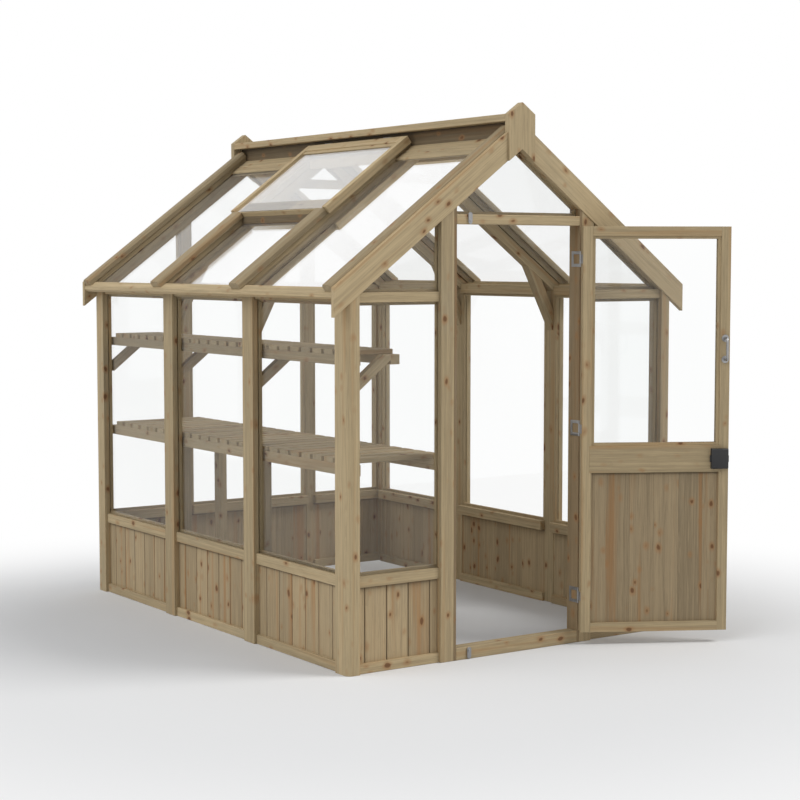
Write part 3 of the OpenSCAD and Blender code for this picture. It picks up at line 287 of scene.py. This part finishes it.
def worked_copy(node, body, finish, arris=0.0, round_to=20):
    """A made-up copy of one CAD node: merged, its flat faces joined, its arrises eased."""
    same_place, flat, sharp = 0.00001, math.radians(0.5), math.radians(40)
    piece = bpy.data.objects.new("made_" + node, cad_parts[node].data.copy())
    bpy.context.scene.collection.objects.link(piece)
    bpy.ops.object.select_all(action="DESELECT")
    piece.select_set(True)
    bpy.context.view_layer.objects.active = piece
    if piece.data.has_custom_normals:
        bpy.ops.mesh.customdata_custom_splitnormals_clear()
    bpy.ops.object.mode_set(mode="EDIT")
    bpy.ops.mesh.select_all(action="SELECT")
    bpy.ops.mesh.remove_doubles(threshold=same_place)
    bpy.ops.mesh.dissolve_limited(angle_limit=flat)
    bpy.ops.object.mode_set(mode="OBJECT")
    if arris > 0:
        ease = piece.modifiers.new("arris", "BEVEL")
        ease.width = arris
        ease.segments = 1
        ease.limit_method = "ANGLE"
        ease.angle_limit = sharp
        bpy.ops.object.modifier_apply(modifier="arris")
    bpy.ops.object.shade_smooth_by_angle(angle=math.radians(round_to))
    piece.data.materials.clear()
    piece.data.materials.append(finish)
    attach(piece, body)
    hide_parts(node)
    return piece


def sticks(mesh):
    """The separate sticks of a mesh, each as the list of its vertices and its longest edge."""
    owner = list(range(len(mesh.vertices)))

    def root(i):
        while owner[i] != i:
            owner[i] = owner[owner[i]]
            i = owner[i]
        return i

    for edge in mesh.edges:
        a, b = root(edge.vertices[0]), root(edge.vertices[1])
        if a != b:
            owner[a] = b
    found = {}
    for i in range(len(mesh.vertices)):
        found.setdefault(root(i), [[], Vector((0, 0, 0))])[0].append(i)
    for edge in mesh.edges:
        span = mesh.vertices[edge.vertices[1]].co - mesh.vertices[edge.vertices[0]].co
        stick = found[root(edge.vertices[0])]
        if span.length > stick[1].length:
            stick[1] = span
    return found.values()


def ends(mesh, members, way):
    """The least and the greatest place of a stick's vertices along a direction."""
    places = [mesh.vertices[i].co.dot(way) for i in members]
    return min(places), max(places)


def lay_grain(piece, along=None, boards=False):
    """Gives every stick its own cut out of the log: grain along its length, heart to one side. On
    boards it also marks the edges between the two faces, where the V joints are."""
    heart, log_length, hair, nearly_upright = 0.07, 40, 0.0005, 0.9
    mesh = piece.data
    mesh.attributes.new("grain", "FLOAT_VECTOR", "POINT")
    mesh.attributes.new("tone", "FLOAT", "POINT")
    mesh.attributes.new("seam", "FLOAT", "POINT")
    grain, tone, seam = (mesh.attributes[kind] for kind in ("grain", "tone", "seam"))
    luck = random.Random(piece.name)
    for members, longest in sticks(mesh):
        axis = (Vector(along) if along else longest).normalized()
        helper = Vector((0, 0, 1)) if abs(axis.z) < nearly_upright else Vector((0, 1, 0))
        across = helper.cross(axis).normalized()
        thick = axis.cross(across)
        middle = sum((mesh.vertices[i].co for i in members), Vector()) / len(members)
        turn = luck.uniform(0, 2 * math.pi)
        away = luck.uniform(0.6, 1.6) * heart
        shift = Vector((away * math.cos(turn), away * math.sin(turn), luck.uniform(0, log_length)))
        shade = luck.random()
        for i in members:
            place = mesh.vertices[i].co - middle
            grain.data[i].vector = Vector((place.dot(across), place.dot(thick), place.dot(axis))) + shift
            tone.data[i].value = shade
        if boards:
            spans = [(*ends(mesh, members, way), way) for way in (across, thick)]
            back, face, depth = min(spans, key=lambda span: span[1] - span[0])
            for i in members:
                at = mesh.vertices[i].co.dot(depth)
                seam.data[i].value = float(back + hair < at < face - hair)
    return piece


timber = softwood("planed_timber", pale=(0.436, 0.339, 0.199), streak=(0.40, 0.235, 0.100), streak_share=0.55)
lay_grain(worked_copy("corner_posts", "house", timber, arris=0.0015))

# Side posts: planed softwood, 88 by 45 mm, two in each long wall, rebated on both edges for the
# boards and the glass. They stand on the ground and carry the eaves rails and the bay rafters.
lay_grain(worked_copy("side_posts", "house", timber, arris=0.0015))

# Door posts and rear posts: planed softwood, 65 mm wide, from the ground to the gable rafters.
# They are screwed to the rafters from below, and the door's linings are fixed to the front ones.
lay_grain(worked_copy("door_posts", "house", timber, arris=0.0015))
lay_grain(worked_copy("rear_posts", "house", timber, arris=0.0015))

# Doorway: thin softwood linings on the posts' inner faces, a header over the door and a threshold
# on the ground. The linings are coloured browner and darker than the posts. Header and threshold
# are screwed between the linings.
brown_timber = softwood("brown_timber", pale=(0.265, 0.192, 0.108), streak=(0.25, 0.14, 0.06),
                        streak_share=0.60)
lay_grain(worked_copy("door_linings", "house", brown_timber, arris=0.001))
lay_grain(worked_copy("door_header", "house", timber, arris=0.0015))
lay_grain(worked_copy("threshold", "house", timber, arris=0.0015))

# Wall rails: bottom rails, sill rails over the boards, gable rails and wall plates of the same
# softwood. Each is cut between two posts and notched into their rebates.
for rails in ("bottom_rails", "sill_rails", "gable_rails", "wall_plates"):
    lay_grain(worked_copy(rails, "house", timber, arris=0.0015))

# Boards: upright softwood boards, tongued and V jointed, nailed into the rebates under the sill
# rails. Their wood is a little warmer than the posts' and has more brown streaks.
# Just below the sill rails' lower edge the boards get a strip of painted shadow.
sill_edge = min(vertex.co.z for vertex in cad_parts["sill_rails"].data.vertices)
boarding = softwood("base_boards", pale=(0.402, 0.306, 0.180), streak=(0.37, 0.190, 0.070), streak_share=0.70,
                    painted_shadow_edge=sill_edge)
lay_grain(worked_copy("side_boards", "house", boarding), along=(0, 0, 1), boards=True)
lay_grain(worked_copy("gable_boards", "house", boarding), along=(0, 0, 1), boards=True)


# Wall glass: clear 4 mm toughened panes in the rebates, with softwood beads nailed round them on the
# inside. The panes keep the CAD's shape and only get their glass.
def clear_pane(name, glint, sheen, front_sheen, painted_sheen_share, passes):
    """Clear float glass. What lies behind shows through, and it mirrors the sky at a slant. Its mirror
    share is painted reflection: sheen at the back of the house, front_sheen in its front bay, none on
    the underside of a sloping pane. Over it lies a share of white film, painted sheen; passes is the
    share of the lamps' light let through."""
    front_bay, rear_bays, underside, steepness = 0.55, 1.75, -0.2, 5.0
    glass, tree, plain_shader = new_finish(name)
    tree.nodes.remove(plain_shader)
    place = tree.nodes.new("ShaderNodeTexCoord").outputs["Object"]

    # How much of the sky the pane mirrors
    bay_sheen = graded(tree, along_axis(tree, place, "Y"), front_bay, rear_bays, front_sheen, sheen)
    slant = tree.nodes.new("ShaderNodeLayerWeight")
    slant.inputs["Blend"].default_value = 0.5
    steep = reckoned(tree, "POWER", slant.outputs["Facing"], steepness)
    shine = reckoned(tree, "MULTIPLY", steep, bay_sheen)
    normal = tree.nodes.new("ShaderNodeNewGeometry").outputs["Normal"]
    from_above = reckoned(tree, "GREATER_THAN", along_axis(tree, normal, "Z"), underside)
    mirrored = reckoned(tree, "ADD", reckoned(tree, "MULTIPLY", shine, from_above), glint, clamp=True)

    haze = clouds(tree, place, (1.3, 1.3, 1.3), 1)["Fac"]
    clear = tree.nodes.new("ShaderNodeBsdfTransparent")
    feed(tree, coloured(tree, (0.982, 0.986, 0.985), (0.995, 0.997, 0.996), haze), clear.inputs["Color"])
    dimmed = tree.nodes.new("ShaderNodeBsdfTransparent")
    dimmed.inputs["Color"].default_value = (passes, passes, passes, 1)
    mirror = tree.nodes.new("ShaderNodeBsdfAnisotropic")
    mirror.inputs["Color"].default_value = (1, 1, 1, 1)
    mirror.inputs["Roughness"].default_value = 0.0
    # A white diffuse film laid over the glass, painted sheen that whitens it
    painted_sheen_film = tree.nodes.new("ShaderNodeBsdfDiffuse")
    painted_sheen_film.inputs["Color"].default_value = (0.93, 0.93, 0.92, 1)
    rays = tree.nodes.new("ShaderNodeLightPath").outputs
    for_light = reckoned(tree, "MAXIMUM", rays["Is Shadow Ray"], rays["Is Diffuse Ray"])
    surface = mixed(tree, mirrored, clear.outputs[0], mirror.outputs[0])
    with_painted_sheen = mixed(tree, painted_sheen_share, surface, painted_sheen_film.outputs[0])
    tree.links.new(mixed(tree, for_light, with_painted_sheen, dimmed.outputs[0]),
                   tree.nodes["Material Output"].inputs["Surface"])
    return glass


def glazed(node, glass):
    """Puts the glass on a CAD pane, which keeps its own shape."""
    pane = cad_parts[node]
    pane.data.materials.clear()
    pane.data.materials.append(glass)


wall_glass = clear_pane("clear_glass", glint=0.02, sheen=0.3, front_sheen=0.3, painted_sheen_share=0.0, passes=0.80)
for panes in ("side_glass", "gable_glass", "gable_top_glass"):
    glazed(panes, wall_glass)
lay_grain(worked_copy("side_beads", "house", timber))
lay_grain(worked_copy("gable_beads", "house", timber))

# Ridge: a deep softwood beam between the rafters' upper ends, with a flat cap screwed on top and a
# pointed finial at each end. The beam is coloured very dark, painted shade under the cap's overhang,
# with a strip of painted shadow just below the cap's lower edge.
cap_edge = min(vertex.co.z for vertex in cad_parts["ridge_cap"].data.vertices)
painted_shade_wood = {"pale": (0.170, 0.127, 0.074), "streak": (0.21, 0.12, 0.05), "streak_share": 0.50}
ridge_timber = softwood("ridge_timber", **painted_shade_wood, painted_shadow_edge=cap_edge)
lay_grain(worked_copy("ridge_beam", "house", ridge_timber, arris=0.0015))
lay_grain(worked_copy("ridge_cap", "house", timber, arris=0.002))
lay_grain(worked_copy("finials", "house", timber, arris=0.0015), along=(0, 0, 1))

# Bargeboards: softwood boards of 94 by 22 mm along the gables' slopes, cut plumb at both ends and
# screwed to the gable rafters' faces and to the ends of the eaves rails.
lay_grain(worked_copy("bargeboards", "house", timber, arris=0.0015))

# Rafters and their caps: softwood rafters of 45 by 75 mm with grooves for the roof glass, and
# chamfered caps screwed on top of them. On the left slope two caps stop under the vent.
cap_timber = softwood("cap_timber", pale=(0.335, 0.262, 0.156), streak=(0.33, 0.20, 0.09), streak_share=0.55)
lay_grain(worked_copy("gable_rafters", "house", timber, arris=0.001))
lay_grain(worked_copy("bay_rafters", "house", timber, arris=0.001))
lay_grain(worked_copy("glazing_caps", "house", cap_timber, arris=0.001))

# Eaves and roof rails: softwood rails along the slopes' lower ends, on which the glass lies, low
# rails and glazing bars under the ridge, and the trimmer that carries the vent's lower edge.
# A paler copy of the softwood, painted light: it colours the eaves rails and the vent's frame as if strongly
# lit.
light_timber = softwood("light_timber", pale=(0.515, 0.399, 0.233), streak=(0.46, 0.285, 0.12),
                        streak_share=0.50)
# The trimmer has the ridge beam's very dark wood, painted shade for the vent's shadow over it.
trimmer_timber = softwood("trimmer_timber", **painted_shade_wood)
lay_grain(worked_copy("eaves_rails", "house", light_timber, arris=0.001))
lay_grain(worked_copy("roof_top_rails", "house", timber, arris=0.001))
lay_grain(worked_copy("vent_trimmer", "house", trimmer_timber, arris=0.001))

# Roof glass: six clear 4 mm panes, slid into the rafters' grooves and resting on the eaves rails.
# The front bay's panes get by far the largest mirror share, painted reflection of the sky where they are seen
# at the flattest slant.
glazed("roof_glass", clear_pane("roof_glass", glint=0.03, sheen=0.5, front_sheen=4.6, painted_sheen_share=0.05, passes=0.80))

# Knee braces and collars: softwood of 45 mm that stiffens the roof. The braces butt against the side
# posts and the rafters, and each collar joins a pair of rafters under the ridge.
lay_grain(worked_copy("knee_braces", "house", timber, arris=0.0015))
lay_grain(worked_copy("collars", "house", timber, arris=0.0015))

# Shelf and staging: spaced softwood slats screwed on bearers along the left wall. The shelf rests on
# raking brackets, the staging on square legs and on the gables' posts.
for part in ("shelf_slats", "shelf_bearers", "shelf_brackets", "staging_slats", "staging_bearers",
             "staging_legs"):
    lay_grain(worked_copy(part, "house", timber, arris=0.0015))

# Door: softwood stiles and three rails of 45 mm, a panel of tongued boards below and a clear pane
# above, held by beads on both faces. The panel sits in grooves, 8 mm deep, and is a little darker,
# with painted shadow in a strip just below the rail over it.
panel_bite = 0.008
panel_top = max(vertex.co.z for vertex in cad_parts["door_boards"].data.vertices)
door_boarding = softwood("door_boards", pale=(0.312, 0.238, 0.142), streak=(0.31, 0.16, 0.06),
                         streak_share=0.70, painted_shadow_edge=panel_top - panel_bite)
lay_grain(worked_copy("door_stiles", "door", timber, arris=0.001))
lay_grain(worked_copy("door_rails", "door", timber, arris=0.001))
lay_grain(worked_copy("door_boards", "door", door_boarding), along=(0, 0, 1))
lay_grain(worked_copy("door_beads", "door", timber))
glazed("door_glass", wall_glass)


# Door hinges: three flush hinges of satin stainless steel. The ring leaves are screwed to the
# lining, the inner leaves to the door's edge, and both turn on steel pins.
def metal_finish(name, metallic, scale, detail, rough, dark, light):
    """A worked metal, whose gloss and shade vary a little along its brush lines or its grit."""
    metal, tree, shader = new_finish(name)
    lines = clouds(tree, tree.nodes.new("ShaderNodeTexCoord").outputs["Object"], scale, detail)["Fac"]
    shader.inputs["Metallic"].default_value = metallic
    tree.links.new(graded(tree, lines, 0, 1, *rough, smooth=False), shader.inputs["Roughness"])
    tree.links.new(coloured(tree, dark, light, lines), shader.inputs["Base Color"])
    return metal


round_metal = 35


def fitting(node, body, finish, arris=0.0):
    """A made-up copy of a metal fitting, whose round faces shade smooth."""
    worked_copy(node, body, finish, arris, round_to=round_metal)


def screw_heads(name, places, facing, body, finish):
    """Countersunk heads with a cross recess, one at each place. All face one way, and each is turned
    by chance, as a screw stops where it is tight."""
    head_r, head_h, proud, rim_r = 0.0032, 0.0012, 0.0003, 0.00025
    arm, blade = 1.25 * head_r, 0.30 * head_r
    bpy.ops.object.select_all(action="DESELECT")
    bpy.ops.mesh.primitive_cylinder_add(vertices=32, radius=head_r, depth=head_h)
    head = bpy.context.object
    rim = head.modifiers.new("rim", "BEVEL")
    rim.width = rim_r
    rim.segments = 2
    bpy.ops.object.modifier_apply(modifier="rim")
    for sides in ((arm, blade), (blade, arm)):
        bpy.ops.mesh.primitive_cube_add(size=1, location=(0, 0, head_h / 2))
        bit = bpy.context.object
        bit.scale = (*sides, head_h)
        bpy.ops.object.transform_apply(location=True, rotation=False, scale=True)
        recess = head.modifiers.new("recess", "BOOLEAN")
        recess.object = bit
        recess.operation = "DIFFERENCE"
        bpy.context.view_layer.objects.active = head
        bpy.ops.object.modifier_apply(modifier="recess")
        bpy.data.objects.remove(bit)
    luck = random.Random(name)
    outward = Vector(facing).normalized()
    lay = outward.to_track_quat("Z", "Y").to_matrix().to_4x4()
    copies = []
    for place in places:
        twin = bpy.data.objects.new(name, head.data.copy())
        bpy.context.scene.collection.objects.link(twin)
        seat = Vector(place) + outward * (proud - head_h / 2)
        twin.matrix_world = Matrix.Translation(seat) @ lay @ Matrix.Rotation(luck.uniform(0, math.pi), 4, "Z")
        copies.append(twin)
    bpy.data.objects.remove(head)
    bpy.ops.object.select_all(action="DESELECT")
    for twin in copies:
        twin.select_set(True)
    bpy.context.view_layer.objects.active = copies[0]
    bpy.ops.object.join()
    bpy.ops.object.transform_apply(location=True, rotation=True, scale=True)
    bpy.ops.object.shade_smooth_by_angle(angle=math.radians(round_metal))
    copies[0].name = name
    copies[0].data.materials.clear()
    copies[0].data.materials.append(finish)
    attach(copies[0], body)


# The door stands open, so what is placed on the shut door is turned about the hinge pins with it
pin_x, pin_y = 0.3195, -0.036
door_turn = Matrix.Rotation(math.radians(151.3), 4, "Z")


def on_door(*place):
    """Where a point of the shut door lies now that the door stands open."""
    pin = Vector((pin_x, pin_y, 0))
    return door_turn @ (Vector(place) - pin) + pin


hinge_heights = (0.205, 0.9224, 1.6398)
ring_face, leaf_face = 0.3178, 0.3192
ring_holes = ((-0.012, 0.0265), (-0.012, -0.0265), (0.0145, 0.019), (0.0145, -0.019))
leaf_holes = ((-0.019, 0.010), (-0.019, -0.010), (-0.001, 0))
steel = metal_finish("satin_steel", 1.0, (900, 900, 60), 3, rough=(0.26, 0.42),
                     dark=(0.25, 0.25, 0.255), light=(0.42, 0.42, 0.42))
fitting("hinge_rings", "house", steel, arris=0.0003)
fitting("hinge_leaves", "door", steel, arris=0.0003)
fitting("hinge_pins", "house", steel)
screw_heads("ring_screws", [(ring_face, y, z + up) for z in hinge_heights for y, up in ring_holes],
            (-1, 0, 0), "house", steel)
screw_heads("leaf_screws", [on_door(leaf_face, y, z + up) for z in hinge_heights for y, up in leaf_holes],
            door_turn @ Vector((1, 0, 0)), "door", steel)

# Pull handles: round satin steel bars with bent ends on two round feet, one on each face of the
# door, bolted through its left stile.
fitting("door_handles", "door", steel)

# Rim lock: a black lacquered iron case screwed to the door's inner face, its sliding bolt, and a
# round cover over the keyhole outside. A steel keep plate on the lining takes the bolt.
lock_height, case_face = 0.793, 0.034
case_holes = ((-0.303, 0.034), (-0.303, -0.034), (-0.248, 0.034), (-0.248, -0.034))
keep_face, keep_y, keep_holes = -0.3188, 0.026, (0.032, -0.032)
black = metal_finish("black_lacquer", 0.0, (600, 600, 600), 2, rough=(0.32, 0.55),
                     dark=(0.007, 0.007, 0.008), light=(0.018, 0.018, 0.019))
fitting("lock_case", "door", black, arris=0.0008)
fitting("key_cover", "door", black, arris=0.0008)
fitting("lock_bolt", "lock_bolt", black, arris=0.0005)
fitting("bolt_keep", "house", steel)
screw_heads("lock_screws", [on_door(x, case_face, lock_height + up) for x, up in case_holes],
            door_turn @ Vector((0, 1, 0)), "door", black)
screw_heads("keep_screws", [(keep_face, keep_y, lock_height + up) for up in keep_holes],
            (1, 0, 0), "house", steel)

# Turn buttons: short stainless steel arms on shoulder screws, one on the header and one on the
# threshold, which turn over the shut door's face.
fitting("header_button", "header_button", steel, arris=0.0005)
fitting("threshold_button", "threshold_button", steel, arris=0.0005)
fitting("button_screws", "house", steel, arris=0.0006)

# Roof vent: a softwood frame with a clear pane lying on its lower rail, hinged under the ridge cap.
# Its flat steel stay turns on a screw under the lower rail and drops over a peg on the trimmer.
# The frame has the paler copy of the softwood, painted light.
lay_grain(worked_copy("vent_frame", "vent", light_timber, arris=0.0015))
glazed("vent_glass", clear_pane("vent_glass", glint=0.04, sheen=1.7, front_sheen=1.7, painted_sheen_share=0.03, passes=0.95))
fitting("vent_hinge_leaves", "vent", steel)
fitting("vent_hinge_plates", "house", steel)
fitting("stay_screw", "vent", steel)
fitting("vent_stay", "vent_stay", steel)
fitting("stay_peg", "house", steel)
